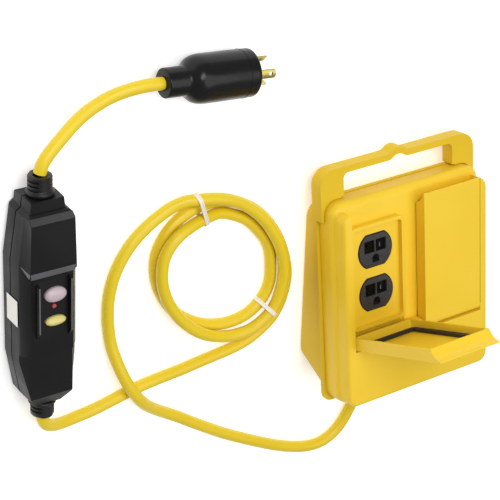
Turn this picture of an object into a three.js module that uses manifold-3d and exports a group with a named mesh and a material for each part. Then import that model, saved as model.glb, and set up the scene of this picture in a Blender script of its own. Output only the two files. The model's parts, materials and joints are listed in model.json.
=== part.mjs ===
// Portable two-outlet box on an in-line ground-fault cord set, laid on its back on a table.
// Millimetres, +Z up off the table, +X across the box to its right, +Y towards the box's handle.
// The origin is on the box's rest face, on its centre line.
import * as THREE from "three";
import { mergeVertices } from "three/addons/utils/BufferGeometryUtils.js";
import Module from "manifold-3d";

const wasm = await Module();
wasm.setup();

// ---------- driving dimensions: the box ----------
const GAP = 0.35; // clearance between pieces that touch
const WALL = 3; // moulded wall of the housing and the cover
const WEDGE = THREE.MathUtils.degToRad(8); // front face against the rest face
const REST_DEPTH = 28.3; // parting plane to rest face on the box's centre line
const FLANGE_HALF = 81;
const FLANGE_TOP = 68;
const FLANGE_BOTTOM = -118;
const HANDLE_TOP = 93.8;
const HANDLE_BACK = -5;
const HANDLE_FRONT = 8;
const GRIP_HALF = 57.5;
const GRIP_TOP = 88;
const COVER_HALF = 78;
const COVER_TOP = 67;
const COVER_BOTTOM = -116;
const COVER_FACE = 19.5; // height of the cover's lower face over the parting plane
const SURROUND_HALF = 76;
const SURROUND_FACE = 32; // height of the raised surround and of a closed lid
const SURROUND_END = 60; // where the surround's two arms stop
const POCKET_HALF = 68;
const POCKET_BOTTOM = -62.9;
const OUTLET_X = 37.5; // each duplex outlet's distance from the centre line
const OUTLET_PITCH = 38.9; // a standard duplex outlet
const STRAP_SCREW = 41.7; // each strap screw's distance from the outlet's middle
const FACE_RADIUS = 17.05;
const FACE_FLAT = 14.3;
const BEAD_HALF = 28;
const BEAD_TOP = 45;
const BEAD_BOTTOM = -48.3;
const BEAD_FACE = 26;
const PLATE_FACE = 21.5;
const LID_HALF = 30.4;
const LID_TOP = 60.4;
const LID_SKIRT = 11.2;
const HINGE_Y = -57.5;
const HINGE_Z = 27.5;
const HINGE_ROLL = 4.5; // radius of the lid's rolled lower edge about its pin
const LID_OPEN = THREE.MathUtils.degToRad(75);
const PIN_RADIUS = 1.2;
const PIN_INNER = 3; // where each hinge pin starts and ends, from the centre line
const PIN_OUTER = 71;
const GLAND_X = -10;
const GLAND_Y = -102.6;
const GLAND_Z = -21.5;

// ---------- driving dimensions: ground-fault module, plug and cord ----------
const MODULE_AT = new THREE.Vector3(-333.6, 48.5, 0);
const MODULE_TURN = THREE.MathUtils.degToRad(-1.7);
const MODULE_HALF = 24;
const MODULE_LINE_END = 95; // from the case's middle to its end on the plug's side
const MODULE_LOAD_END = 80.5;
const MODULE_HEIGHT = 40;
const MODULE_PARTING = 17;
const MODULE_AXIS = 19; // height of the cord's axis in the case
const PLUG_AT = new THREE.Vector3(-226.7, 207, 19);
const PLUG_TURN = THREE.MathUtils.degToRad(-5.6);
const PLUG_RADIUS = 19;
const PLUG_LENGTH = 77;
const CORD_RADIUS = 5.05;
const COIL_AT = new THREE.Vector3(-166.5, 31, 0);
const COIL_LOW = 1.9;
const COIL_HIGH = 20.6;
const TIE_WIDTH = 3.6;
const TIE_THICK = 1.2;

// ---------- colours ----------
const finish = (color, roughness, metalness = 0) =>
  new THREE.MeshStandardMaterial({ color, roughness, metalness });
const YELLOW = finish(0xf2c420, 0.42);
const CORD_YELLOW = finish(0xf5d020, 0.5);
const BLACK = finish(0x1c1c1e, 0.45);
const OUTLET_BLACK = finish(0x2a2a2c, 0.35);
const RUBBER = finish(0x241c18, 0.85);
const BRASS = finish(0xc8a838, 0.3, 1);
const STEEL = finish(0xb8bcc0, 0.35, 1);
const COPPER = finish(0xb06030, 0.4, 1);
const BOARD = finish(0x1f5a34, 0.6);
const CERAMIC = finish(0x3a3a44, 0.6);
const RESET_PINK = finish(0xcfb6c0, 0.4);
const TEST_YELLOW = finish(0xe0d060, 0.4);
const LENS_RED = finish(0xb04040, 0.2);
const WHITE = finish(0xece8de, 0.5);
const WIRE_BLACK = finish(0x181818, 0.5);
const WIRE_WHITE = finish(0xe8e8e4, 0.5);
const WIRE_GREEN = finish(0x2c8a3c, 0.5);

// ---------- solids ----------
function solid(geometry) {
  const bare = geometry.index ? geometry.toNonIndexed() : geometry.clone();
  for (const name of Object.keys(bare.attributes)) {
    if (name !== "position") bare.deleteAttribute(name);
  }
  const merged = mergeVertices(bare, 1e-4);
  return new wasm.Manifold(
    new wasm.Mesh({
      numProp: 3,
      vertProperties: merged.attributes.position.array,
      triVerts: new Uint32Array(merged.index.array),
    }),
  );
}

function geometryOf(body) {
  const mesh = body.getMesh();
  const geometry = new THREE.BufferGeometry();
  geometry.setAttribute("position", new THREE.BufferAttribute(mesh.vertProperties, 3));
  geometry.setIndex(new THREE.BufferAttribute(mesh.triVerts, 1));
  const flat = geometry.toNonIndexed();
  flat.computeVertexNormals();
  return flat;
}

const cut = (body, ...tools) => tools.reduce((left, tool) => left.subtract(tool), body);
const join = (...bodies) => bodies.reduce((left, right) => left.add(right));

function box(x0, x1, y0, y1, z0, z1) {
  const geometry = new THREE.BoxGeometry(x1 - x0, y1 - y0, z1 - z0);
  return geometry.translate((x0 + x1) / 2, (y0 + y1) / 2, (z0 + z1) / 2);
}

function cylinder(radius, z0, z1, x = 0, y = 0, sides = 20) {
  const geometry = new THREE.CylinderGeometry(radius, radius, z1 - z0, sides);
  return geometry.rotateX(Math.PI / 2).translate(x, y, (z0 + z1) / 2);
}

// A closed skin over rings of points with equal counts, each ring convex and running
// anticlockwise seen from the last ring's side.
function loft(rings) {
  const count = rings[0].length;
  const triangles = [];
  for (let level = 0; level + 1 < rings.length; level++) {
    for (let i = 0; i < count; i++) {
      const next = (i + 1) % count;
      const [a, b] = [rings[level][i], rings[level][next]];
      const [c, d] = [rings[level + 1][i], rings[level + 1][next]];
      triangles.push(a, b, d, a, d, c);
    }
  }
  const [first, last] = [rings[0], rings[rings.length - 1]];
  for (let i = 1; i + 1 < count; i++) {
    triangles.push(first[0], first[i + 1], first[i]);
    triangles.push(last[0], last[i], last[i + 1]);
  }
  const geometry = new THREE.BufferGeometry();
  geometry.setAttribute("position", new THREE.Float32BufferAttribute(triangles.flat(), 3));
  return geometry;
}

// A rectangle with round corners; height is a number or a function of (x, y).
function roundedRing(x0, x1, y0, y1, radius, height, steps = 5) {
  const centres = [
    [x1 - radius, y1 - radius],
    [x0 + radius, y1 - radius],
    [x0 + radius, y0 + radius],
    [x1 - radius, y0 + radius],
  ];
  const ring = [];
  centres.forEach(([cx, cy], quarter) => {
    for (let i = 0; i <= steps; i++) {
      const angle = (quarter + i / steps) * (Math.PI / 2);
      const x = cx + radius * Math.cos(angle);
      const y = cy + radius * Math.sin(angle);
      ring.push([x, y, typeof height === "function" ? height(x, y) : height]);
    }
  });
  return ring;
}

// A block with round corners whose top edge is rounded too, by edge.
function roundedBlock(x0, x1, y0, y1, radius, z0, z1, edge = 0, steps = 5) {
  const rings = [roundedRing(x0, x1, y0, y1, radius, z0, steps)];
  const arcs = edge > 0 ? 4 : 0;
  for (let i = 0; i <= arcs; i++) {
    const angle = arcs ? (i / arcs) * (Math.PI / 2) : 0;
    const inset = edge * (1 - Math.cos(angle));
    const z = z1 - edge * (1 - Math.sin(angle));
    const corner = Math.max(radius - inset, 0.5);
    rings.push(roundedRing(x0 + inset, x1 - inset, y0 + inset, y1 - inset, corner, z, steps));
  }
  return loft(rings);
}

function tube(points, radius, sides, steps, type = "centripetal") {
  const curve = new THREE.CatmullRomCurve3(points, false, type);
  const section = new THREE.Shape();
  for (let i = 0; i < sides; i++) {
    const angle = (i / sides) * 2 * Math.PI;
    const [x, y] = [radius * Math.cos(angle), radius * Math.sin(angle)];
    if (i) section.lineTo(x, y);
    else section.moveTo(x, y);
  }
  section.closePath();
  return new THREE.ExtrudeGeometry(section, { steps, extrudePath: curve });
}

function lathe(profile, sides = 28) {
  const points = profile.map(([radius, height]) => new THREE.Vector2(radius, height));
  return new THREE.LatheGeometry(points, sides);
}

const vectors = (rows) => rows.map(([x, y, z]) => new THREE.Vector3(x, y, z));

const part = new THREE.Group();

function addMesh(group, name, shape, material) {
  const geometry = shape.isBufferGeometry ? shape : geometryOf(shape);
  const mesh = new THREE.Mesh(geometry, material);
  mesh.name = name;
  group.add(mesh);
  return mesh;
}

// ---------- the box's frame: x across, y up the front face, z out of the parting plane ----------
const outletBox = new THREE.Group();
outletBox.rotation.x = -WEDGE;
outletBox.position.set(0, REST_DEPTH * Math.sin(WEDGE), REST_DEPTH * Math.cos(WEDGE));
part.add(outletBox);
const restPlane = (x, y) => -REST_DEPTH + Math.tan(WEDGE) * y;

// The bar arches up over a hanging notch at its middle.
function handleOutline() {
  const outline = new THREE.Shape();
  const corner = 14;
  const [hump, rise] = [11, 4.2];
  outline.moveTo(-FLANGE_HALF, 50);
  outline.lineTo(FLANGE_HALF, 50);
  outline.lineTo(FLANGE_HALF, HANDLE_TOP - corner);
  outline.absarc(FLANGE_HALF - corner, HANDLE_TOP - corner, corner, 0, Math.PI / 2, false);
  outline.lineTo(hump, HANDLE_TOP);
  outline.bezierCurveTo(hump * 0.55, HANDLE_TOP, hump * 0.6, HANDLE_TOP + rise, 0, HANDLE_TOP + rise);
  outline.bezierCurveTo(-hump * 0.6, HANDLE_TOP + rise, -hump * 0.55, HANDLE_TOP, -hump, HANDLE_TOP);
  outline.lineTo(-FLANGE_HALF + corner, HANDLE_TOP);
  outline.absarc(-FLANGE_HALF + corner, HANDLE_TOP - corner, corner, Math.PI / 2, Math.PI, false);
  return outline;
}

function gripOutline() {
  const grip = new THREE.Shape();
  const corner = 5;
  const [notch, rise] = [10, 3.8];
  grip.moveTo(-GRIP_HALF, FLANGE_TOP);
  grip.lineTo(GRIP_HALF, FLANGE_TOP);
  grip.lineTo(GRIP_HALF, GRIP_TOP - corner);
  grip.absarc(GRIP_HALF - corner, GRIP_TOP - corner, corner, 0, Math.PI / 2, false);
  grip.lineTo(notch, GRIP_TOP);
  grip.bezierCurveTo(notch * 0.6, GRIP_TOP, notch * 0.6, GRIP_TOP + rise, 0, GRIP_TOP + rise);
  grip.bezierCurveTo(-notch * 0.6, GRIP_TOP + rise, -notch * 0.6, GRIP_TOP, -notch, GRIP_TOP);
  grip.lineTo(-GRIP_HALF + corner, GRIP_TOP);
  grip.absarc(-GRIP_HALF + corner, GRIP_TOP - corner, corner, Math.PI / 2, Math.PI, false);
  return grip;
}

function extrude(shape, z0, z1, curveSegments = 5) {
  const options = { depth: z1 - z0, bevelEnabled: false, curveSegments };
  return new THREE.ExtrudeGeometry(shape, options).translate(0, 0, z0);
}

// Extrudes an outline given in (y, z) along x.
function extrudeX(shape, x0, x1, curveSegments = 6) {
  const turn = new THREE.Matrix4().makeBasis(
    new THREE.Vector3(0, 1, 0), new THREE.Vector3(0, 0, 1), new THREE.Vector3(1, 0, 0),
  );
  return extrude(shape, x0, x1, curveSegments).applyMatrix4(turn);
}

// Corner screws join the cover to the housing from the rear.
const SCREW_SPOTS = [
  [-66, 52],
  [66, 52],
  [-66, -80],
  [66, -80],
];
const BOSS_RADIUS = 4.5;
const SCREW_SEAT = 12; // depth of each screw's head from the rest face
const SHANK_BORE = 1.9;

// The wedge behind the flange, from the parting plane back to the rest face.
function wedge(inset, floor) {
  const half = 78 - inset;
  const [top, bottom] = [66 - inset, -114 + inset];
  const [backTop, backBottom] = [62 - inset, -91 + inset];
  const corner = 14 - inset;
  const back = (x, y) => restPlane(x, y) + floor;
  const nearBack = (x, y) => restPlane(x, y) + floor + 3;
  const edge = floor > 0 ? 1 : 3;
  return loft([
    roundedRing(-half + edge, half - edge, backBottom + edge, backTop - edge, corner - 2, back),
    roundedRing(-half + 0.4, half - 0.4, backBottom - 1.4, backTop, corner, nearBack),
    roundedRing(-half, half, bottom, top, corner, -2.9),
    roundedRing(-half, half, bottom, top, corner, floor > 0 ? 0.5 : -1),
  ]);
}

function rearHousing() {
  const flange = roundedRing(-FLANGE_HALF, FLANGE_HALF, FLANGE_BOTTOM, FLANGE_TOP, 9, 0);
  const at = (z) => flange.map(([x, y]) => [x, y, z]);
  const plate = solid(loft([at(-3), at(0)]));
  const handle = cut(
    solid(extrude(handleOutline(), HANDLE_BACK, HANDLE_FRONT)),
    solid(extrude(gripOutline(), HANDLE_BACK - 1, HANDLE_FRONT + 1)),
    solid(box(-60, 60, 40, FLANGE_TOP + GAP, -9, 9)),
    solid(roundedBlock(-COVER_HALF - 0.4, COVER_HALF + 0.4, COVER_BOTTOM, COVER_TOP + 0.4, 12, 0, 20)),
  );
  const legRecess = [1, -1].map((side) => {
    const [near, far] = [side * (GRIP_HALF + 3), side * (FLANGE_HALF - 3)];
    const [x0, x1] = [Math.min(near, far), Math.max(near, far)];
    return solid(roundedBlock(x0, x1, FLANGE_TOP + 2.5, HANDLE_TOP - 4, 7, HANDLE_BACK - 1, 4.5));
  });
  const bosses = SCREW_SPOTS.map(([x, y]) =>
    solid(cylinder(BOSS_RADIUS, restPlane(x, y) + 1, -0.5, x, y, 14)),
  );
  const bores = SCREW_SPOTS.flatMap(([x, y]) => [
    solid(cylinder(SHANK_BORE, restPlane(x, y) - 5, 2, x, y, 12)),
    solid(cylinder(3.4, restPlane(x, y) - 5, restPlane(x, y) + SCREW_SEAT, x, y, 14)),
  ]);
  const shell = cut(join(plate, solid(wedge(0, 0)), handle), solid(wedge(WALL, WALL)), ...legRecess);
  return cut(join(shell, ...bosses), ...bores, glandBore());
}

// ---------- cord gland on the sloping end below the outlets ----------
const GLAND_SLOPE = Math.atan2(23, 38); // fall and run of the wedge's lower end
function glandFrame(geometry) {
  return geometry
    .rotateX(Math.PI / 2 + GLAND_SLOPE)
    .translate(GLAND_X, GLAND_Y, GLAND_Z);
}
const GLAND_BORE = 7.4;
const glandBore = () => solid(glandFrame(cylinder(GLAND_BORE, -12, 12, 0, 0, 20)));

addMesh(outletBox, "rear_housing", rearHousing(), YELLOW);

// ---------- front cover ----------
function duplexOutline(grow) {
  const radius = FACE_RADIUS + grow;
  const flat = FACE_FLAT + grow;
  const angle = Math.asin(flat / radius);
  const outline = new THREE.Shape();
  outline.absarc(0, 0, radius, -angle, angle, false);
  outline.absarc(0, 0, radius, Math.PI - angle, Math.PI + angle, false);
  outline.closePath();
  return outline;
}

function duplexFaces(side, grow, z0, z1) {
  return [1, -1].map((row) => {
    const face = extrude(duplexOutline(grow), z0, z1, 7);
    return face.translate(side * OUTLET_X, (row * OUTLET_PITCH) / 2, 0);
  });
}

function frontCover() {
  const lower = roundedBlock(-COVER_HALF, COVER_HALF, COVER_BOTTOM, COVER_TOP, 12, GAP, COVER_FACE, 6);
  const raised = roundedBlock(
    -SURROUND_HALF, SURROUND_HALF, COVER_BOTTOM + 2, SURROUND_END, 9, COVER_FACE - 8, SURROUND_FACE, 3,
  );
  const pocket = box(-POCKET_HALF, POCKET_HALF, POCKET_BOTTOM, 100, COVER_FACE, 50);
  const inner = roundedBlock(
    -COVER_HALF + WALL, COVER_HALF - WALL, COVER_BOTTOM + WALL, COVER_TOP - WALL, 9, -1, COVER_FACE - WALL,
  );
  const innerRaised = roundedBlock(
    -SURROUND_HALF + WALL, SURROUND_HALF - WALL, COVER_BOTTOM + 5, POCKET_BOTTOM - WALL, 6, 10,
    SURROUND_FACE - WALL,
  );
  let body = cut(solid(lower), solid(inner));
  body = join(body, cut(solid(raised), solid(pocket), solid(inner)));
  body = cut(body, solid(innerRaised));
  for (const side of [-1, 1]) {
    const [x0, x1] = [side * OUTLET_X - BEAD_HALF, side * OUTLET_X + BEAD_HALF];
    const bead = roundedBlock(x0, x1, BEAD_BOTTOM, BEAD_TOP, 5, COVER_FACE - 1, BEAD_FACE, 1);
    const plate = roundedBlock(x0 + 3, x1 - 3, BEAD_BOTTOM + 3, BEAD_TOP - 3, 3, PLATE_FACE, 40);
    const behind = roundedBlock(x0 + 3, x1 - 3, BEAD_BOTTOM + 3, BEAD_TOP - 3, 3, 10, PLATE_FACE - 3);
    const hingeTrough = box(x0 - 2.2, x1 + 2.2, POCKET_BOTTOM, BEAD_BOTTOM - 1.2, COVER_FACE - 1.2, 30);
    body = join(body, solid(bead));
    body = cut(body, solid(plate), solid(behind), solid(hingeTrough));
    body = cut(body, ...duplexFaces(side, GAP, 10, 30).map(solid));
  }
  // The pins' outer ends sit in the pocket's walls, and the middle ear holds both inner ends.
  const [ear, half] = [3.1, 5.6];
  const foot = COVER_FACE - 2;
  body = join(
    body,
    solid(cylinder(ear, -half, half, 0, 0, 14).rotateY(Math.PI / 2).translate(0, HINGE_Y, HINGE_Z)),
    solid(box(-half, half, HINGE_Y - ear, HINGE_Y + ear, foot, HINGE_Z)),
    solid(box(-half, half, POCKET_BOTTOM - 1, HINGE_Y, foot, HINGE_Z + ear)),
  );
  const pinBores = [-1, 1].map((side) => {
    const ends = [side * (PIN_INNER - 0.6), side * (PIN_OUTER + 1)];
    const bore = cylinder(PIN_RADIUS + GAP, Math.min(...ends), Math.max(...ends), 0, 0, 12);
    return solid(bore.rotateY(Math.PI / 2).translate(0, HINGE_Y, HINGE_Z));
  });
  const posts = SCREW_SPOTS.map(([x, y]) => {
    const top = y < POCKET_BOTTOM ? SURROUND_FACE - 1 : COVER_FACE - 1;
    return solid(cylinder(BOSS_RADIUS, GAP, top, x, y, 14));
  });
  const pilots = SCREW_SPOTS.map(([x, y]) => solid(cylinder(SHANK_BORE, -1, 14, x, y, 12)));
  const strapPosts = [];
  const strapPilots = [];
  for (const side of [-1, 1]) {
    for (const end of [-1, 1]) {
      strapPosts.push(solid(cylinder(3.4, 15.2, PLATE_FACE - 1, side * OUTLET_X, end * STRAP_SCREW, 12)));
      strapPilots.push(solid(cylinder(1.5, 12, PLATE_FACE - 1.2, side * OUTLET_X, end * STRAP_SCREW, 12)));
    }
  }
  body = join(body, ...posts, ...strapPosts);
  return cut(body, ...pinBores, ...pilots, ...strapPilots);
}
addMesh(outletBox, "front_cover", frontCover(), YELLOW);

// ---------- lids: modelled shut, hung on their pins ----------
function lidShape() {
  const [x0, x1] = [-LID_HALF, LID_HALF];
  const bottom = HINGE_Y - HINGE_ROLL;
  const base = SURROUND_FACE - LID_SKIRT;
  const profile = new THREE.Shape();
  // Side view along the pin: y up the front face, z out of it.
  profile.moveTo(HINGE_Y, base);
  profile.lineTo(LID_TOP - 10, base);
  profile.quadraticCurveTo(LID_TOP - 7, SURROUND_FACE - 3, LID_TOP, SURROUND_FACE - 1.6);
  profile.lineTo(LID_TOP, SURROUND_FACE);
  profile.lineTo(HINGE_Y, SURROUND_FACE);
  profile.absarc(HINGE_Y, HINGE_Z, HINGE_ROLL, Math.PI / 2, Math.PI, false);
  profile.lineTo(bottom, base + 3);
  profile.quadraticCurveTo(bottom + 0.5, base, HINGE_Y, base);
  const block = extrudeX(profile, x0, x1);
  const hollow = roundedBlock(
    x0 + 1.6, x1 - 1.6, HINGE_Y + 4.2, LID_TOP - 12, 2, base - 1, SURROUND_FACE - 2.5,
  );
  const bore = cylinder(PIN_RADIUS + GAP, x0 - 1, x1 + 1, 0, 0, 12).rotateY(Math.PI / 2);
  return cut(solid(block), solid(hollow), solid(bore.translate(0, HINGE_Y, HINGE_Z)));
}

function ringSolid(x0, x1, y0, y1, radius, width, z0, z1) {
  const outside = roundedBlock(x0, x1, y0, y1, radius, z0, z1);
  const inside = roundedBlock(
    x0 + width, x1 - width, y0 + width, y1 - width, Math.max(radius - width, 0.8), z0 - 1, z1 + 1,
  );
  return cut(solid(outside), solid(inside));
}

// Turns a group about its hinge pin by an angle; its children keep the shut lid's coordinates.
function hungGroup(angle, x) {
  const group = new THREE.Group();
  group.rotation.x = angle;
  const shift = new THREE.Vector3(0, HINGE_Y, HINGE_Z);
  const turned = shift.clone().applyEuler(group.rotation);
  group.position.copy(shift.sub(turned));
  group.position.x = x;
  outletBox.add(group);
  return group;
}

for (const [name, side, angle] of [["left", -1, LID_OPEN], ["right", 1, 0]]) {
  const hung = hungGroup(angle, side * OUTLET_X);
  addMesh(hung, name + "_lid", lidShape(), YELLOW);
  const gasket = ringSolid(
    -BEAD_HALF + 0.8, BEAD_HALF - 0.8, BEAD_BOTTOM + 0.4, BEAD_TOP - 0.8, 4, 4.4,
    BEAD_FACE + 0.5, SURROUND_FACE - 2.5 - GAP,
  );
  addMesh(hung, name + "_lid_gasket", gasket, RUBBER);
  const ends = [side * PIN_INNER, side * PIN_OUTER];
  const pin = cylinder(PIN_RADIUS, Math.min(...ends), Math.max(...ends), 0, 0, 10);
  addMesh(outletBox, name + "_hinge_pin", pin.rotateY(Math.PI / 2).translate(0, HINGE_Y, HINGE_Z), STEEL);
}

// ---------- duplex receptacles ----------
const STRAP_FACE = 14.8;
const STRAP_SHEET = 1.4;
const BODY_DEPTH = 8; // how far a receptacle's body stands behind the parting plane
const BODY_FACE = PLATE_FACE - 3 - GAP;

function receptacle(side) {
  const x = side * OUTLET_X;
  const faces = duplexFaces(side, 0, 10, PLATE_FACE + 0.8).map(solid);
  const core = roundedBlock(x - 16.5, x + 16.5, -35, 35, 3, -BODY_DEPTH, BODY_FACE - 0.2);
  const strapGroove = box(x - 7, x + 7, -60, 60, -BODY_DEPTH - 1, -BODY_DEPTH + 1);
  let body = cut(join(solid(core), ...faces), solid(strapGroove));
  for (const row of [1, -1]) {
    const y = (row * OUTLET_PITCH) / 2;
    const top = PLATE_FACE + 2;
    const floor = PLATE_FACE - 9;
    const shelf = PLATE_FACE - 1.2; // each slot opens in the floor of a shallow window
    const slots = [
      box(x - 11.6, x - 1, y - 1.4, y + 9.4, shelf, top),
      box(x + 0.2, x + 10.8, y - 1.4, y + 9.4, shelf, top),
      box(x - 7.6, x - 5.0, y + 0.2, y + 8.6, floor, top),
      box(x - 10.6, x - 5.0, y + 3.1, y + 5.7, floor, top),
      box(x + 5.1, x + 7.3, y + 1.0, y + 7.8, floor, top),
    ];
    const ground = extrude(groundHole(), floor, top, 6).translate(x, y - 7.6, 0);
    body = cut(body, ...slots.map(solid), solid(ground));
  }
  return body;
}

// Half round above, straight sides below.
function groundHole() {
  const hole = new THREE.Shape();
  hole.moveTo(-3.6, -3.2);
  hole.lineTo(3.6, -3.2);
  hole.absarc(0, 0.4, 3.6, 0, Math.PI, false);
  hole.closePath();
  return hole;
}

// A strap runs behind the receptacle, up its ends and out to the screws.
function strap(x) {
  const [half, end, rise, thick] = [6.5, 52, 35.4, 1.5];
  const back = -BODY_DEPTH - 2;
  const bar = box(x - half, x + half, -rise - thick, rise + thick, back, -BODY_DEPTH - GAP);
  const arms = [1, -1].map((way) => {
    const span = (near, far) => (way > 0 ? [near, far] : [-far, -near]);
    return join(
      solid(box(x - half, x + half, ...span(rise, end), STRAP_FACE - STRAP_SHEET, STRAP_FACE)),
      solid(box(x - half, x + half, ...span(rise, rise + thick), back, STRAP_FACE)),
    );
  });
  const holes = [1, -1].map((end) => solid(cylinder(2, 5, 20, x, end * STRAP_SCREW, 12)));
  return cut(join(solid(bar), ...arms), ...holes);
}

function screw(headRadius, headHeight, shankRadius, length) {
  return lathe([
    [0, 0],
    [headRadius, 0],
    [headRadius, headHeight],
    [shankRadius, headHeight],
    [shankRadius, length - 1],
    [0.3, length],
    [0, length],
  ], 12).rotateX(Math.PI / 2);
}

const SCREW_NAMES = ["upper", "lower"];
for (const [name, side] of [["left", -1], ["right", 1]]) {
  const x = side * OUTLET_X;
  addMesh(outletBox, name + "_receptacle", receptacle(side), OUTLET_BLACK);
  addMesh(outletBox, name + "_strap", strap(x), STEEL);
  SCREW_NAMES.forEach((place, index) => {
    const y = index ? -STRAP_SCREW : STRAP_SCREW;
    const head = 1.8;
    const shape = screw(3, head, 1.4, 8).translate(x, y, STRAP_FACE - STRAP_SHEET - GAP - head);
    addMesh(outletBox, name + "_strap_screw_" + place, shape, STEEL);
  });
}

SCREW_SPOTS.forEach(([x, y], index) => {
  const seat = restPlane(x, y) + SCREW_SEAT;
  const head = 2.4;
  const shape = screw(3, head, 1.5, -seat + 13).translate(x, y, seat - head - GAP);
  addMesh(outletBox, "housing_screw_" + (index + 1), shape, STEEL);
});

// ---------- gland, inner clamp and wires ----------
const RELIEF_LENGTH = 30;
const CLEAR = CORD_RADIUS + GAP;
const glandProfile = [
  [CLEAR, -9.6],
  [9.6, -9.6],
  [9.6, -4.4],
  [7, -4.4],
  [7, 0.6],
  [10.5, 0.6],
  [10.5, 5],
  [8.2, 8],
  [6.5, RELIEF_LENGTH],
  [CLEAR, RELIEF_LENGTH],
  [CLEAR, -9.6],
];
addMesh(outletBox, "cord_gland", glandFrame(lathe(glandProfile, 20).rotateX(Math.PI / 2)), BLACK);

// The clamp grips the jacket just inside the gland.
const clampOutside = box(-11, 11, -7.5, 7.5, -21, -12);
const clampHole = cylinder(CLEAR, -25, -8, 0, 0, 16);
addMesh(outletBox, "cord_clamp", cut(
  solid(glandFrame(clampOutside)), solid(glandFrame(clampHole)),
), STEEL);

// Conductors run from the clamp to the left outlet, and jumpers from there to the right one.
const WIRE_RADIUS = 1.5;
const TERMINAL = OUTLET_X - 17.2 - WIRE_RADIUS; // where a wire meets the side of a receptacle
const WIRES = [
  ["hot", -5, WIRE_BLACK],
  ["ground", 0, WIRE_GREEN],
  ["neutral", 5, WIRE_WHITE],
];
const tailEnd = new THREE.Vector3(GLAND_X, -86, -13);
WIRES.forEach(([name, lean, material], index) => {
  const supply = vectors([
    [tailEnd.x + lean * 0.7, tailEnd.y + 3, tailEnd.z + 2],
    [tailEnd.x + lean, tailEnd.y + 14, tailEnd.z + 1],
    [-14 + lean, -52, -16 + index * 3],
    [-16 + lean * 0.4, -34 + index * 12, -14],
    [-TERMINAL, -22 + index * 13, -4],
  ]);
  addMesh(outletBox, name + "_wire", tube(supply, WIRE_RADIUS, 6, 12), material);
  const height = -28 + index * 24;
  const jumper = vectors([
    [-TERMINAL, height + 8, 6],
    [-9, height + 5, -2],
    [9, height + 5, -2],
    [TERMINAL, height + 8, 6],
  ]);
  addMesh(outletBox, name + "_jumper", tube(jumper, WIRE_RADIUS, 6, 8), material);
});

// ---------- ground-fault module ----------
const module = new THREE.Group();
module.position.copy(MODULE_AT);
module.rotation.z = MODULE_TURN;
part.add(module);

// The case seen from above: long sides that taper to both ends, and a collar at the plug's end.
function moduleRing(inset, height, widest = MODULE_HALF) {
  const outline = [
    [MODULE_HALF, -37],
    [MODULE_HALF, 46],
    [18.5, 84],
    [14.8, 86.5],
    [13.8, MODULE_LINE_END],
    [-13.8, MODULE_LINE_END],
    [-14.8, 86.5],
    [-18.5, 84],
    [-MODULE_HALF, 46],
    [-MODULE_HALF, -37],
    [-18, -71],
    [-11, -MODULE_LOAD_END],
    [11, -MODULE_LOAD_END],
    [18, -71],
  ];
  const ends = [MODULE_LINE_END, -MODULE_LOAD_END];
  return outline.map(([x, y]) => [
    Math.sign(x) * Math.min(Math.abs(x) - inset, widest),
    y - (ends.includes(y) ? Math.sign(y) * inset : 0),
    height,
  ]);
}

const PANEL_FACE = MODULE_HEIGHT - 2.5; // the buttons' panel, between the two plateaus
const LOWER_FACE = MODULE_HEIGHT - 4;
const PANEL_TOP = 35.5;
const PANEL_BOTTOM = -30.6;
const COLLAR_FACE = 31;
const CREST_HALF = 17.5; // half the flat of the crowned panel and lower plateau

// Everything above the case's stepped outline, seen from the side.
function aboveSteps(drop) {
  const outline = new THREE.Shape();
  const steps = [
    [110, 60],
    [110, COLLAR_FACE],
    [86, COLLAR_FACE],
    [85, MODULE_HEIGHT - 5],
    [80, MODULE_HEIGHT],
    [PANEL_TOP + 6.5, MODULE_HEIGHT],
    [PANEL_TOP, PANEL_FACE],
    [PANEL_BOTTOM, PANEL_FACE],
    [PANEL_BOTTOM - 1, LOWER_FACE],
    [-69, LOWER_FACE],
    [-110, LOWER_FACE - 26],
    [-110, 60],
  ];
  outline.setFromPoints(steps.map(([y, z]) => new THREE.Vector2(y, z > 50 ? z : z - drop)));
  return solid(extrudeX(outline, -40, 40));
}

// The falling shoulder beside the crest of a face. Its upper end rises along the case's side by a length.
const SHOULDER_RUN = 7;
const SHOULDER_DROP = 9;
const CUTTER_LIFT = 9; // the cutter stands this high over the face
function shoulder(side, low, high, rise, face) {
  const past = 1.4; // the cutter reaches this many times the shoulder's own width
  const outer = CREST_HALF + past * SHOULDER_RUN;
  const under = face - past * SHOULDER_DROP;
  const ring = (y, lift) => [
    [side * CREST_HALF, y, face],
    [side * CREST_HALF, y + lift * 0.2, face + CUTTER_LIFT],
    [side * outer, y + lift * past, face + CUTTER_LIFT],
    [side * outer, y + lift * past, under],
  ];
  const ends = [ring(low, 0), ring(high, rise)];
  return solid(loft(side > 0 ? ends : ends.reverse()));
}

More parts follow.
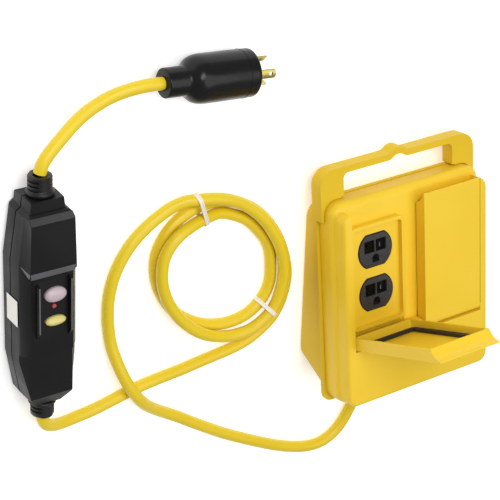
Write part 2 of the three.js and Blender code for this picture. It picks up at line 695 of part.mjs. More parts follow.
function topCase() {
  const rim = MODULE_PARTING + GAP;
  const outside = loft([
    moduleRing(0, rim),
    moduleRing(0.4, MODULE_HEIGHT - 11),
    moduleRing(0.8, MODULE_HEIGHT, 19),
  ]);
  const hollow = loft([
    moduleRing(2.8, rim - 1),
    moduleRing(3.2, MODULE_HEIGHT - 12),
    moduleRing(3.8, MODULE_HEIGHT - 2.6, 16),
  ]);
  const middle = box(-30, 30, -64, 76, 0, 50);
  const shoulders = [1, -1].flatMap((side) => [
    shoulder(side, PANEL_BOTTOM, PANEL_TOP, 14, PANEL_FACE),
    shoulder(side, -90, PANEL_BOTTOM, 0, LOWER_FACE),
  ]);
  let body = cut(solid(outside), aboveSteps(0), ...shoulders);
  body = cut(body, cut(solid(hollow).intersect(solid(middle)), aboveSteps(3.2)));
  const posts = CASE_SCREWS.map(([x, y]) => solid(cylinder(CASE_POST, rim, 33, x, y, 10)));
  const pilots = CASE_SCREWS.map(([x, y]) => solid(cylinder(1.4, rim - 1, 27, x, y, 10)));
  const guards = GUARDS.map((guard) => solid(buttonGuard(guard)));
  const wells = BUTTONS.map((button) => solid(buttonWell(button)));
  const lensHole = solid(cylinder(INDICATOR.radius + GAP, 20, 50, INDICATOR.x, INDICATOR.y, 14));
  const reliefBores = [1, -1].map((end) => solid(reliefBore(end)));
  return cut(join(body, ...posts, ...guards), ...pilots, ...wells, lensHole, ...reliefBores);
}

// A low rib on each side of the buttons keeps them from being pressed by accident.
const GUARDS = [
  { x: -12.8, bottom: -16, top: 32 },
  { x: 13.8, bottom: -19, top: 34 },
];
function buttonGuard({ x, bottom, top }) {
  const outline = new THREE.Shape();
  outline.moveTo(bottom, PANEL_FACE - 1);
  outline.lineTo(bottom + 7, PANEL_FACE + 4.6);
  outline.lineTo(top - 2, PANEL_FACE + 4.6);
  outline.lineTo(top, PANEL_FACE - 1);
  outline.closePath();
  return extrudeX(outline, x - 0.9, x + 0.9);
}

const BUTTONS = [
  { name: "reset", x: 2, y: 19.8, long: 9.2, wide: 6.2, material: RESET_PINK },
  { name: "test", x: 2, y: -2.4, long: 8.5, wide: 4, material: TEST_YELLOW },
];
const INDICATOR = { x: 1.2, y: 10, radius: 1.7 };
const CASE_POST = 3.2;
const HEAD_POCKET = 5; // depth of each case screw's pocket in the bottom case
const CASE_SCREWS = [
  [-16.5, 40],
  [16.5, 40],
  [-16.5, -40],
  [16.5, -40],
];

function oval(button, grow, z0, z1) {
  const shape = cylinder(1, z0, z1, 0, 0, 24);
  return shape.scale(button.long + grow, button.wide + grow, 1).translate(button.x, button.y, 0);
}
const buttonWell = (button) => oval(button, GAP, 20, 50);

const reliefBase = (end) => (end > 0 ? MODULE_LINE_END : MODULE_LOAD_END);

function reliefBore(end) {
  const bore = cylinder(8.2, reliefBase(end) - 9, reliefBase(end) + 20, 0, 0, 20).rotateX(-Math.PI / 2 * end);
  return bore.translate(0, 0, MODULE_AXIS);
}

function bottomCase() {
  const rim = MODULE_PARTING - 0.8;
  const body = cut(
    solid(loft([moduleRing(3, 0), moduleRing(0.6, 4), moduleRing(0, rim)])),
    solid(loft([moduleRing(5, 2.5), moduleRing(3, 6), moduleRing(2.8, rim + 1)])),
    solid(reliefBore(1)),
    solid(reliefBore(-1)),
  );
  const posts = CASE_SCREWS.map(([x, y]) => solid(cylinder(CASE_POST, 1, rim, x, y, 10)));
  const bores = CASE_SCREWS.flatMap(([x, y]) => [
    solid(cylinder(SHANK_BORE, -1, rim + 1, x, y, 10)),
    solid(cylinder(3.3, -1, HEAD_POCKET, x, y, 12)),
  ]);
  return cut(join(body, ...posts), ...bores);
}

addMesh(module, "module_bottom_case", bottomCase(), BLACK);
addMesh(module, "module_top_case", topCase(), BLACK);

CASE_SCREWS.forEach(([x, y], index) => {
  const head = 1.8;
  const shape = screw(2.8, head, 1.3, 20).translate(x, y, HEAD_POCKET - head - GAP);
  addMesh(module, "module_screw_" + (index + 1), shape, STEEL);
});

const BOARD_Z = 15;
const BOARD_SHEET = 1.6;
const boardShape = cut(
  solid(box(-15, 15, -34, 72, BOARD_Z, BOARD_Z + BOARD_SHEET)),
  ...CASE_SCREWS.map(([x, y]) => solid(cylinder(CASE_POST + 0.4, 0, 30, x, y, 12))),
);
addMesh(module, "circuit_board", boardShape, BOARD);
const onBoard = BOARD_Z + BOARD_SHEET + GAP;
const toroid = lathe([[4, 0], [8, 0], [8, 7], [4, 7], [4, 0]], 20).rotateX(Math.PI / 2);
addMesh(module, "sensing_coil", toroid.translate(0, 62, onBoard), CERAMIC);
const solenoid = cylinder(5.5, -9, 9, 0, 0, 16).rotateX(Math.PI / 2);
addMesh(module, "trip_coil", solenoid.translate(-5, 42, onBoard + 5.5), COPPER);
addMesh(module, "contact_block", box(-11, 11, -31, -25.5, onBoard, onBoard + 8), CERAMIC);

const BUTTON_FOOT = 24;

function ovalRing(button, inset, z, sides = 24) {
  const ring = [];
  for (let i = 0; i < sides; i++) {
    const angle = (i / sides) * 2 * Math.PI;
    ring.push([
      button.x + (button.long - inset) * Math.cos(angle),
      button.y + (button.wide - inset) * Math.sin(angle),
      z,
    ]);
  }
  return ring;
}

function returnSpring(button) {
  const [radius, wire, turns, perTurn] = [2.8, 0.35, 3, 8];
  const steps = turns * perTurn;
  const bottom = onBoard + 0.6;
  const rise = BUTTON_FOOT - onBoard - 1.4;
  const coil = [];
  for (let i = 0; i <= steps; i++) {
    const angle = (i / perTurn) * 2 * Math.PI;
    const [x, y] = [radius * Math.cos(angle), radius * Math.sin(angle)];
    coil.push(new THREE.Vector3(button.x + x, button.y + y, bottom + (i / steps) * rise));
  }
  return tube(coil, wire, 6, steps);
}

for (const button of BUTTONS) {
  const head = PANEL_FACE + 4;
  const cap = loft([
    ovalRing(button, 0, BUTTON_FOOT),
    ovalRing(button, 0, head - 2.6),
    ovalRing(button, 1.2, head - 1),
    ovalRing(button, 3.4, head),
  ]);
  addMesh(module, button.name + "_button", cap, button.material);
  addMesh(module, button.name + "_spring", returnSpring(button), STEEL);
}

const lens = cylinder(INDICATOR.radius, 30, PANEL_FACE + 0.6, INDICATOR.x, INDICATOR.y, 14);
addMesh(module, "indicator_lens", lens, LENS_RED);
addMesh(module, "side_label", box(-MODULE_HALF - 0.75, -MODULE_HALF - GAP, -6, 15.6, 11.6, 28.4), WHITE);

// Ribbed strain reliefs with a stepped collar where they enter the case.
function moduleRelief(end) {
  const profile = [[CLEAR, -8.4], [8, -8.4], [8, -0.1], [8, 0.6]];
  const length = end > 0 ? 15.2 : 14;
  profile.push([11.4, 0.6], [11.4, 4], [9.6, 4.6]);
  for (let station = 7; station + 4 < length; station += 4.5) {
    profile.push([9.4, station], [8.2, station + 0.5], [8.2, station + 1.7], [9.3, station + 2.2]);
  }
  profile.push([9.2, length], [CLEAR, length], [CLEAR, -8.4]);
  return lathe(profile, 20).rotateX(end > 0 ? 0 : Math.PI).translate(0, end * reliefBase(end), MODULE_AXIS);
}
addMesh(module, "line_side_relief", moduleRelief(1), BLACK);
addMesh(module, "load_side_relief", moduleRelief(-1), BLACK);

// ---------- locking plug: its own x runs from the cord's mouth to the blades ----------
const plug = new THREE.Group();
plug.position.copy(PLUG_AT);
plug.rotation.z = PLUG_TURN;
part.add(plug);
const alongPlug = (geometry) => geometry.rotateZ(-Math.PI / 2);

const plugProfile = [
  [CLEAR, 0],
  [11, 0],
  [11.5, 0.6],
  [11.5, 17],
  [12.2, 18.6],
  [13.9, 20.2],
  [16, 22],
  [17.6, 24.6],
  [18.6, 28],
  [PLUG_RADIUS, 32.5],
  [PLUG_RADIUS, PLUG_LENGTH - 2],
  [PLUG_RADIUS - 2, PLUG_LENGTH],
  [16.4, PLUG_LENGTH],
  [16.4, PLUG_LENGTH - 8],
  [CLEAR, PLUG_LENGTH - 8],
  [CLEAR, 0],
];
addMesh(plug, "plug_body", alongPlug(lathe(plugProfile, 32)), BLACK);

// Three curved locking blades stand on one circle.
const BLADE_CIRCLE = 10.5;
const BLADE_HALF_THICK = 0.8;
const BLADES = [
  { name: "hot_blade", at: 172, sweep: 38, length: 17.5 },
  { name: "neutral_blade", at: 46, sweep: 38, length: 19.5 },
  { name: "ground_blade", at: 278, sweep: 38, length: 17 },
];
const PLUG_FACE = PLUG_LENGTH - 0.6;

function bladeShape(blade, grow, from, to) {
  const thick = BLADE_HALF_THICK + grow;
  const [inner, outer] = [BLADE_CIRCLE - thick, BLADE_CIRCLE + thick];
  const half = THREE.MathUtils.degToRad(blade.sweep / 2) + grow / BLADE_CIRCLE;
  const middle = THREE.MathUtils.degToRad(blade.at);
  const outline = new THREE.Shape();
  outline.absarc(0, 0, outer, middle - half, middle + half, false);
  outline.absarc(0, 0, inner, middle + half, middle - half, true);
  outline.closePath();
  return extrude(outline, from, to, 8).rotateY(Math.PI / 2);
}

const CARRIER_FOOT = PLUG_LENGTH - 7.6;
const carrier = cut(
  solid(alongPlug(lathe([[0, CARRIER_FOOT], [16, CARRIER_FOOT], [16, PLUG_FACE], [0, PLUG_FACE]], 28))),
  ...BLADES.map((blade) => solid(bladeShape(blade, GAP, PLUG_LENGTH - 20, PLUG_LENGTH + 5))),
);
addMesh(plug, "blade_carrier", carrier, BLACK);

// A frame whose z points out through the middle of a blade.
function throughBlade(geometry, blade) {
  const middle = THREE.MathUtils.degToRad(blade.at);
  const [sin, cos] = [Math.sin(middle), Math.cos(middle)];
  return geometry.applyMatrix4(new THREE.Matrix4().makeBasis(
    new THREE.Vector3(1, 0, 0),
    new THREE.Vector3(0, -cos, -sin),
    new THREE.Vector3(0, sin, -cos),
  ));
}

for (const blade of BLADES) {
  const foot = CARRIER_FOOT + 0.4;
  const tip = PLUG_FACE + blade.length;
  const curved = solid(bladeShape(blade, 0, foot, tip));
  const rounded = roundedBlock(foot - 3, tip, -3.6, 3.6, 2, 0, 20);
  const hole = cylinder(1.7, 0, 30, tip - 4.4, 0, 12);
  const shape = cut(
    curved.intersect(solid(throughBlade(rounded, blade))), solid(throughBlade(hole, blade)),
  );
  addMesh(plug, blade.name, shape, BRASS);
}

// ---------- cords ----------
const CORD_SIDES = 10;
const LIE = CORD_RADIUS + 0.05; // height of a lying cord's centre line
const LINE_ROUTE = [
  [-227.1, 207.05, 19],
  [-232.7, 207.6, 19],
  [-240, 207.8, 18.2],
  [-249, 206.8, 16.2],
  [-260, 204.6, 13.8],
  [-270.5, 201.6, 12.4],
  [-281, 197.6, 12],
  [-291, 193, 12.6],
  [-300.5, 187.8, 14.2],
  [-309, 182.4, 16.2],
  [-316.6, 176.9, 17.6],
  [-323, 171.6, 18.6],
  [-327.8, 166, 19],
  [-330.3, 159.1, 19],
];
const FEED_ROUTE = [
  [-336.4, -46.4, 19],
  [-336.2, -50.9, 18.8],
  [-334.4, -56.8, 17.6],
  [-330.6, -62, 15.4],
  [-325, -66, 12.6],
  [-318, -69.2, 9.6],
  [-309.4, -71.2, 6.9],
  [-299, -71.6, 5.3],
  [-286.5, -70.8, LIE],
  [-274, -68.8, LIE],
  [-262.5, -66.6, LIE],
  [-252, -64.6, LIE],
  [-238, -62.6, LIE],
  [-223, -61.3, LIE],
  [-203, -60.2, LIE],
  [-184, -58.4, LIE],
  [-166, -56.8, LIE],
  [-150, -55.2, LIE],
  [-136, -52, LIE],
  [-123.6, -46, LIE],
  [-111.4, -37.1, LIE],
  [-102.6, -26.4, LIE],
];
const TAIL_ROUTE = [
  [-199, 97.8, 9.6],
  [-210.5, 94, 6],
  [-222, 88.6, LIE],
  [-233, 82.4, LIE],
  [-243, 75, LIE],
  [-251.6, 66, LIE],
  [-258.8, 55.4, LIE],
  [-264.4, 43, LIE],
  [-268, 28.6, LIE],
  [-269.2, 13.6, LIE],
  [-268.6, -1, LIE],
  [-267.4, -14.4, 6.6],
  [-265, -27.4, 10.2],
  [-261.4, -40.4, 14.2],
  [-256.2, -52.8, 16.4],
  [-249.4, -64.4, 16.4],
  [-240.6, -76, 13],
  [-230, -86.6, 8.4],
  [-218.6, -95.8, 5.6],
  [-205.6, -105, LIE],
  [-191, -116, LIE],
  [-176, -127, LIE],
  [-158, -139.8, LIE],
  [-139, -151.8, LIE],
  [-120.4, -163, LIE],
  [-102, -173.4, LIE],
  [-85.6, -181.2, LIE],
  [-70.6, -186.6, LIE],
  [-57, -188.8, LIE],
  [-45.4, -187, LIE],
  [-35.6, -181.6, LIE],
  [-27.4, -173, LIE],
  [-20.4, -161.6, LIE],
  [-14.6, -149, 5.6],
  [-11, -138.6, 7],
];

function cordTube(name, route, steps) {
  addMesh(part, name, tube(vectors(route), CORD_RADIUS, CORD_SIDES, steps), CORD_YELLOW);
}

cordTube("line_cord", LINE_ROUTE, 9);
cordTube("load_cord_feed", FEED_ROUTE, 15);
outletBox.updateMatrixWorld(true);
const mouth = new THREE.Vector3(0, 0, RELIEF_LENGTH + GAP);
const outward = new THREE.Vector3(0, 0, 1);
const glandTurn = new THREE.Euler(Math.PI / 2 + GLAND_SLOPE, 0, 0);
mouth.applyEuler(glandTurn).add(new THREE.Vector3(GLAND_X, GLAND_Y, GLAND_Z));
outward.applyEuler(glandTurn);
outletBox.localToWorld(mouth);
outward.transformDirection(outletBox.matrixWorld);
const led = mouth.clone().addScaledVector(outward, 5);
const tail = [...vectors(TAIL_ROUTE), led, mouth];
addMesh(part, "load_cord_tail", tube(tail, CORD_RADIUS, CORD_SIDES, 26), CORD_YELLOW);

// The coil lies in a loose oval: its outer and inner edges as (degrees, radius) about its middle.
const COIL_OUTER_EDGE = [
  [-60, 78.4],
  [-49, 78.6],
  [-40, 78],
  [-30, 82],
  [-18, 76],
  [0, 68],
  [25, 59],
  [50, 57.5],
  [75, 61],
  [98, 70.6],
  [116, 68.2],
  [135, 68.6],
  [157, 68.2],
  [183, 63],
  [205, 60],
  [229, 60.5],
  [252, 66],
  [275, 74.8],
];
const COIL_INNER_EDGE = [
  [-49, 59],
  [-20, 50.4],
  [0, 42],
  [28, 35],
  [66, 34.6],
  [92, 38.7],
  [112, 42.4],
  [136, 55],
  [157, 57],
  [188, 51.4],
  [215, 47.8],
  [244, 48],
  [280, 55],
];

function polarOutline(edge, Kind, steps) {
  const corners = edge.map(([degrees, radius]) => {
    const angle = THREE.MathUtils.degToRad(degrees);
    return new THREE.Vector3(radius * Math.cos(angle), radius * Math.sin(angle), 0);
  });
  const curve = new THREE.CatmullRomCurve3(corners, true);
  return new Kind(curve.getPoints(steps).slice(0, -1).map(({ x, y }) => new THREE.Vector2(x, y)));
}

const coilOutline = polarOutline(COIL_OUTER_EDGE, THREE.Shape, 54);
coilOutline.holes.push(polarOutline(COIL_INNER_EDGE, THREE.Path, 40));
const coil = addMesh(part, "cord_coil", extrude(coilOutline, COIL_LOW, COIL_HIGH), CORD_YELLOW);
coil.position.copy(COIL_AT);

// Each tie is a closed band across the coil, between its edges there.
[["upper", 112, 40.6, 70.2], ["lower", -49, 57.6, 79.4]].forEach(([name, degrees, inner, outer]) => {
  const reach = TIE_THICK + GAP;
  const half = TIE_WIDTH / 2;
  const outside = box(inner - reach, outer + reach, -half, half, COIL_LOW - reach, COIL_HIGH + reach);
  const inside = box(inner - GAP, outer + GAP, -half - 1, half + 1, COIL_LOW - GAP, COIL_HIGH + GAP);
  const band = addMesh(part, "cord_tie_" + name, cut(solid(outside), solid(inside)), WHITE);
  band.position.copy(COIL_AT);
  band.rotation.z = THREE.MathUtils.degToRad(degrees);
});

export default part;
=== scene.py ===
"""The looks of a portable two-outlet box on an in-line ground-fault cord set, on a pale table."""
import json
import math

import bmesh
import bpy
from mathutils import Matrix, Vector
from mathutils.geometry import convex_hull_2d


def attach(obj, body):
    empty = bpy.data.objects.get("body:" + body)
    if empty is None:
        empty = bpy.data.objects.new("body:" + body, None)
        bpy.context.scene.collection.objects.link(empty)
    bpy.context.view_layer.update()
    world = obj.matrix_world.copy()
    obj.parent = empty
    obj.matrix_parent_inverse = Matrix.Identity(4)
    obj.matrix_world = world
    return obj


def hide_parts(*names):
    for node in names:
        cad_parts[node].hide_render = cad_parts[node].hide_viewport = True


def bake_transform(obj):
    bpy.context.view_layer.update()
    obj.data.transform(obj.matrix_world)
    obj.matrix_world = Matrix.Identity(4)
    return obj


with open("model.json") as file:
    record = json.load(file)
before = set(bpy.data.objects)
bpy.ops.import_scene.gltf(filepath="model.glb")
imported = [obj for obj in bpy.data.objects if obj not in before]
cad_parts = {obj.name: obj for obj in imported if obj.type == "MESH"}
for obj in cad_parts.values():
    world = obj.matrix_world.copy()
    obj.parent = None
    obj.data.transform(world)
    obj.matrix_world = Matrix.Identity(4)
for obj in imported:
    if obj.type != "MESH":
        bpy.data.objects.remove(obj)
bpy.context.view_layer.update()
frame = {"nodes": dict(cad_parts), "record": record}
MM = 0.001
ROOT = "set"

# ---------- driving sizes, in millimetres ----------
CORD_RADIUS = 5.05
CLEAR = CORD_RADIUS + 0.3  # a bore that the cord passes through
LIE = 5.1  # height of a lying cord's centre line
WEDGE = math.radians(8)  # the box's front face against the table
REST_DEPTH = 28.3  # parting plane to table on the box's centre line
OUTLET_X = 37.5
OUTLET_ROW = 19.45  # each outlet face's distance above or below the middle of its pair
FACE_RADIUS = 17.05
FACE_FLAT = 14.3  # from a face's middle to its flat top and bottom
PLATE_FACE = 21.5  # heights over the box's parting plane
SURROUND_FACE = 32
POCKET_HALF = 68
GLAND_AT = Vector((-10, -102.6, -21.5))  # in the box's own frame
GLAND_SLOPE = math.atan2(23, 38)
GLAND_MOUTH = Vector((-10, -129.2, 8.7))
MODULE_AT = Vector((-333.6, 48.5, 0))
MODULE_TURN = math.radians(-1.7)
MODULE_LINE_END = 95  # from the module's middle to its two ends
MODULE_LOAD_END = 80.5
MODULE_AXIS = 19  # height of the cord in the module
PLUG_AT = Vector((-226.7, 207, 19))
PLUG_TURN = math.radians(-5.6)
PLUG_RADIUS = 19
PLUG_LENGTH = 77
COIL_AT = Vector((-166.5, 31, 0))


# ---------- camera and light ----------
def add_camera():
    data = bpy.data.cameras.new("camera")
    data.sensor_width = 36
    data.lens = 120.7
    data.clip_start = 0.05
    data.clip_end = 30
    camera = bpy.data.objects.new("camera", data)
    bpy.context.scene.collection.objects.link(camera)
    forward = Vector((0.49559, -0.48253, -0.72219)).normalized()
    up = Vector((0.24977, 0.87553, -0.41359)).normalized()
    right = forward.cross(up)
    place = Matrix((right, up, -forward)).transposed().to_4x4()
    place.translation = Vector((-816.48, 697.30, 997.71)) * MM
    camera.matrix_world = place
    bpy.context.scene.camera = camera


def add_sun(name, direction, strength, spread):
    data = bpy.data.lights.new(name, "SUN")
    data.energy = strength
    data.angle = math.radians(spread)
    sun = bpy.data.objects.new(name, data)
    sun.rotation_euler = (-Vector(direction)).to_track_quat("-Z", "Y").to_euler()
    bpy.context.scene.collection.objects.link(sun)


def add_panel(name, place, aim, size, power):
    data = bpy.data.lights.new(name, "AREA")
    data.energy = power
    data.shape = "RECTANGLE"
    data.size, data.size_y = size
    panel = bpy.data.objects.new(name, data)
    panel.location = place
    panel.rotation_euler = (Vector(aim) - Vector(place)).to_track_quat("-Z", "Y").to_euler()
    bpy.context.scene.collection.objects.link(panel)


def add_light():
    world = bpy.data.worlds.new("studio")
    bpy.context.scene.world = world
    world.use_nodes = True
    background = world.node_tree.nodes["Background"]
    background.inputs["Color"].default_value = (1, 1, 1, 1)
    background.inputs["Strength"].default_value = 0.35
    add_sun("key", (0.25, 0.1, 1), 1.2, 50)
    add_panel("softbox", (-0.6, 1.0, 1.3), (-0.1, 0, 0), (0.9, 0.5), 12)
    bpy.context.scene.view_settings.view_transform = "Standard"


# ---------- cords: the route of the model's own cords ----------
LINE_ROUTE = [
    (-227.1, 207.05, 19),
    (-232.7, 207.6, 19),
    (-240, 207.8, 18.2),
    (-249, 206.8, 16.2),
    (-260, 204.6, 13.8),
    (-270.5, 201.6, 12.4),
    (-281, 197.6, 12),
    (-291, 193, 12.6),
    (-300.5, 187.8, 14.2),
    (-309, 182.4, 16.2),
    (-316.6, 176.9, 17.6),
    (-323, 171.6, 18.6),
    (-327.8, 166, 19),
    (-330.3, 159.1, 19),
]
FEED_ROUTE = [
    (-336.4, -46.4, 19),
    (-336.2, -50.9, 18.8),
    (-334.4, -56.8, 17.6),
    (-330.6, -62, 15.4),
    (-325, -66, 12.6),
    (-318, -69.2, 9.6),
    (-309.4, -71.2, 6.9),
    (-299, -71.6, 5.3),
    (-286.5, -70.8, LIE),
    (-274, -68.8, LIE),
    (-262.5, -66.6, LIE),
    (-252, -64.6, LIE),
    (-238, -62.6, LIE),
    (-223, -61.3, LIE),
    (-203, -60.2, LIE),
    (-184, -58.4, LIE),
    (-166, -56.8, LIE),
    (-150, -55.2, LIE),
    (-136, -52, LIE),
    (-123.6, -46, LIE),
    (-111.4, -37.1, LIE),
]
TAIL_ROUTE = [
    (-199, 97.8, 9.6),
    (-210.5, 94, 6),
    (-222, 88.6, LIE),
    (-233, 82.4, LIE),
    (-243, 75, LIE),
    (-251.6, 66, LIE),
    (-258.8, 55.4, LIE),
    (-264.4, 43, LIE),
    (-268, 28.6, LIE),
    (-269.2, 13.6, LIE),
    (-268.6, -1, LIE),
    (-267.4, -14.4, 6.6),
    (-265, -27.4, 10.2),
    (-261.4, -40.4, 14.2),
    (-256.2, -52.8, 16.4),
    (-249.4, -64.4, 16.4),
    (-240.6, -76, 13),
    (-230, -86.6, 8.4),
    (-218.6, -95.8, 5.6),
    (-205.6, -105, LIE),
    (-191, -116, LIE),
    (-176, -127, LIE),
    (-158, -139.8, LIE),
    (-139, -151.8, LIE),
    (-120.4, -163, LIE),
    (-102, -173.4, LIE),
    (-85.6, -181.2, LIE),
    (-70.6, -186.6, LIE),
    (-57, -188.8, LIE),
    (-45.4, -187, LIE),
    (-35.6, -181.6, LIE),
    (-27.4, -173, LIE),
    (-20.4, -161.6, LIE),
    (-14.6, -149, 5.6),
    (-11, -138.6, 7),
]
# The coil from the feed to the tail: (degrees turned, radius, height) about its middle.
# It starts on the table, its inner turn beside its outer one, and climbs onto them for its last turn.
COIL_TURNS = [
    (-42, 84.3, LIE),
    (-25, 75.5, LIE),
    (-7, 64.6, LIE),
    (15, 56.6, LIE),
    (38, 53, LIE),
    (65, 53.2, LIE),
    (92, 57.2, LIE),
    (115, 61, LIE),
    (135, 63.4, LIE),
    (157, 63, LIE),
    (180, 58, LIE),
    (200, 54.4, LIE),
    (220, 53, LIE),
    (242, 53.4, LIE),
    (264, 56.8, LIE),
    (282, 61, LIE),
    (298, 64.4, LIE),
    (312, 64.6, LIE),
    (326, 61.7, LIE),
    (342, 54.9, LIE),
    (360, 50, LIE),
    (388, 43.2, LIE),
    (410, 42.2, LIE),
    (430, 42.8, LIE),
    (450, 46, 5.6),
    (468, 48.8, 8.6),
    (484, 55, 13),
    (498, 60.6, 15.4),
    (514, 62.4, 15.4),
    (528, 60.4, 15.4),
    (547, 57, 15.4),
    (566, 54.6, 15.4),
    (588, 55, 15.4),
    (606, 58.2, 15),
    (624, 63.6, 13.6),
    (640, 69.5, 12.8),
    (655, 73.6, 13.6),
    (673, 73, 14.4),
    (688, 67.8, 14.2),
    (703, 62, 14.4),
    (721, 55.5, 14.6),
    (742, 50.8, 15),
    (765, 50.6, 15.3),
    (785, 53.8, 15.3),
    (803, 59.6, 15.4),
    (818, 65.6, 14.6),
    (830, 71, 12.6),
]


def smooth_through(points, times, t):
    """A Catmull-Rom value at time t through points given at rising times."""
    last = len(points) - 2
    i = next((k for k in range(last + 1) if t <= times[k + 1]), last)
    before, after = max(i - 1, 0), min(i + 2, len(points) - 1)
    start, end = Vector(points[i]), Vector(points[i + 1])
    span = times[i + 1] - times[i]
    slope_in = (end - Vector(points[before])) / (times[i + 1] - times[before]) * span
    slope_out = (Vector(points[after]) - start) / (times[after] - times[i]) * span
    u = (t - times[i]) / span
    return (
        start * (2 * u**3 - 3 * u**2 + 1)
        + slope_in * (u**3 - 2 * u**2 + u)
        + end * (3 * u**2 - 2 * u**3)
        + slope_out * (u**3 - u**2)
    )


def coil_route(step=6):
    times = [turn for turn, _, _ in COIL_TURNS]
    values = [(radius, height, 0) for _, radius, height in COIL_TURNS]
    route = []
    turned = times[0]
    while turned <= times[-1]:
        radius, height, _ = smooth_through(values, times, turned)
        angle = math.radians(turned)
        route.append(COIL_AT + Vector((radius * math.cos(angle), radius * math.sin(angle), height)))
        turned += step
    return route


def evened(points, spacing):
    """Points about `spacing` apart on a smooth line through the given ones."""
    points = [Vector(p) for p in points]
    times = [0.0]
    for before, after in zip(points, points[1:]):
        times.append(times[-1] + (after - before).length)
    count = max(2, round(times[-1] / spacing))
    return [smooth_through(points, times, times[-1] * i / count) for i in range(count + 1)]


def curve_piece(name, points, radius, material, resolution=5):
    data = bpy.data.curves.new(name, "CURVE")
    data.dimensions = "3D"
    data.bevel_depth = radius * MM
    data.bevel_resolution = resolution
    data.resolution_u = 1
    data.use_fill_caps = True
    spline = data.splines.new("POLY")
    spline.points.add(len(points) - 1)
    for point, target in zip(points, spline.points):
        target.co = (*(point * MM), 1)
    data.materials.append(material)
    piece = bpy.data.objects.new(name, data)
    bpy.context.scene.collection.objects.link(piece)
    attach(piece, ROOT)
    return piece


# ---------- materials ----------
def new_material(name, color, roughness, metallic=0.0, specular=0.5):
    material = bpy.data.materials.new(name)
    material.use_nodes = True
    shader = material.node_tree.nodes["Principled BSDF"]
    shader.inputs["Base Color"].default_value = (*color, 1)
    shader.inputs["Roughness"].default_value = roughness
    shader.inputs["Metallic"].default_value = metallic
    shader.inputs["Specular IOR Level"].default_value = specular
    return material, shader


def noise(tree, scale, detail=3.0, stretch=(1, 1, 1)):
    place = tree.nodes.new("ShaderNodeTexCoord")
    mapping = tree.nodes.new("ShaderNodeMapping")
    mapping.inputs["Scale"].default_value = stretch
    texture = tree.nodes.new("ShaderNodeTexNoise")
    texture.inputs["Scale"].default_value = scale
    texture.inputs["Detail"].default_value = detail
    tree.links.new(place.outputs["Object"], mapping.inputs["Vector"])
    tree.links.new(mapping.outputs["Vector"], texture.inputs["Vector"])
    return texture.outputs["Fac"]


def spread(tree, value, low, high):
    """The value, about 0.3 to 0.7, spread over low to high."""
    ranged = tree.nodes.new("ShaderNodeMapRange")
    ranged.inputs["From Min"].default_value = 0.3
    ranged.inputs["From Max"].default_value = 0.7
    ranged.inputs["To Min"].default_value = low
    ranged.inputs["To Max"].default_value = high
    tree.links.new(value, ranged.inputs["Value"])
    return ranged.outputs["Result"]


def add_bump(tree, shader, height, distance, strength=1.0):
    bump = tree.nodes.new("ShaderNodeBump")
    bump.inputs["Distance"].default_value = distance * MM
    bump.inputs["Strength"].default_value = strength
    tree.links.new(height, bump.inputs["Height"])
    tree.links.new(bump.outputs["Normal"], shader.inputs["Normal"])


def moulded(name, low, high, roughness, grain, depth, specular=0.5):
    """A moulded plastic or rubber: slow colour drift, uneven gloss and a fine grain in the surface."""
    material, shader = new_material(name, low, roughness, specular=specular)
    tree = material.node_tree
    mix = tree.nodes.new("ShaderNodeMix")
    mix.data_type = "RGBA"
    mix.inputs["A"].default_value = (*low, 1)
    mix.inputs["B"].default_value = (*high, 1)
    tree.links.new(spread(tree, noise(tree, 14), 0, 1), mix.inputs["Factor"])
    tree.links.new(mix.outputs["Result"], shader.inputs["Base Color"])
    gloss = spread(tree, noise(tree, 60), roughness - 0.05, roughness + 0.06)
    tree.links.new(gloss, shader.inputs["Roughness"])
    add_bump(tree, shader, noise(tree, grain, 4), depth)
    return material


def metal(name, color, roughness, stretch=(1, 1, 12)):
    """Stamped or drawn metal with fine lines along one way."""
    material, shader = new_material(name, color, roughness, metallic=1)
    tree = material.node_tree
    lines = noise(tree, 500, 2, stretch)
    tree.links.new(spread(tree, lines, roughness - 0.03, roughness + 0.05), shader.inputs["Roughness"])
    add_bump(tree, shader, lines, 0.003)
    return material


